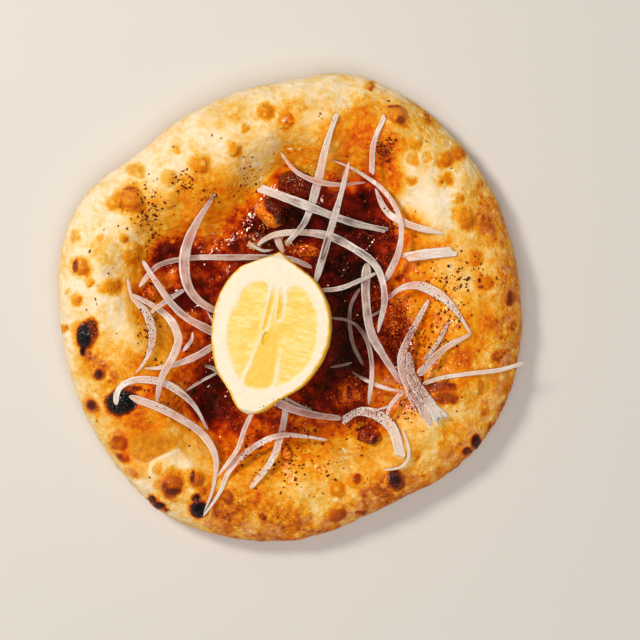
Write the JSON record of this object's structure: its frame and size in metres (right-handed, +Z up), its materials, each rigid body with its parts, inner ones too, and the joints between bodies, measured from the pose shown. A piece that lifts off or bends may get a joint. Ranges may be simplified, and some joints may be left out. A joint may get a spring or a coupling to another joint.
{
  "type": "focaccia",
  "caption": "Round puffy-rimmed focaccia with chilli sauce and roasted pieces in its hollow, raw onion slivers strewn over it and half a lemon on top.",
  "frame": {"origin": "on the flat underside, at the middle of the bounding box", "axes": "+Z up, +Y towards the tip of the lemon half, +X to the right of someone who looks from the nub end towards the tip"},
  "size_m": [0.2411, 0.2427, 0.0472],
  "materials": {
    "crust": "baked crust, pale cream with golden patches and dark blisters",
    "sauce": "wet dark red chilli sauce with orange oil",
    "roasted": "roasted, oily, charred at the edges",
    "onion": "raw, moist, pale with a pink tinge",
    "lemon": "cut lemon: yellow rind, white pith, moist pulp"
  },
  "bodies": {
    "root": {"bread": "crust", "sauce": "sauce", "roasted_1": "roasted", "roasted_2": "roasted", "roasted_3": "roasted", "roasted_4": "roasted", "roasted_5": "roasted", "roasted_6": "roasted", "roasted_7": "roasted", "roasted_8": "roasted", "onion_01": "onion", "onion_02": "onion", "onion_03": "onion", "onion_04": "onion", "onion_05": "onion", "onion_06": "onion", "onion_07": "onion", "onion_08": "onion", "onion_09": "onion", "onion_10": "onion", "onion_11": "onion", "onion_12": "onion", "onion_13": "onion", "onion_14": "onion", "onion_15": "onion", "onion_16": "onion", "onion_17": "onion", "onion_18": "onion", "onion_19": "onion", "onion_20": "onion", "onion_21": "onion", "onion_22": "onion", "onion_23": "onion", "onion_24": "onion", "onion_25": "onion", "onion_26": "onion", "onion_27": "onion", "onion_28": "onion", "onion_29": "onion", "onion_30": "onion", "onion_31": "onion", "onion_32": "onion", "onion_33": "onion", "onion_34": "onion", "onion_35": "onion", "onion_36": "onion", "onion_37": "onion", "onion_38": "onion", "onion_39": "onion", "onion_40": "onion", "onion_41": "onion", "onion_42": "onion", "onion_43": "onion", "onion_44": "onion", "onion_45": "onion", "onion_46": "onion", "onion_47": "onion", "lemon_half": "lemon"}
  },
  "joints": []
}
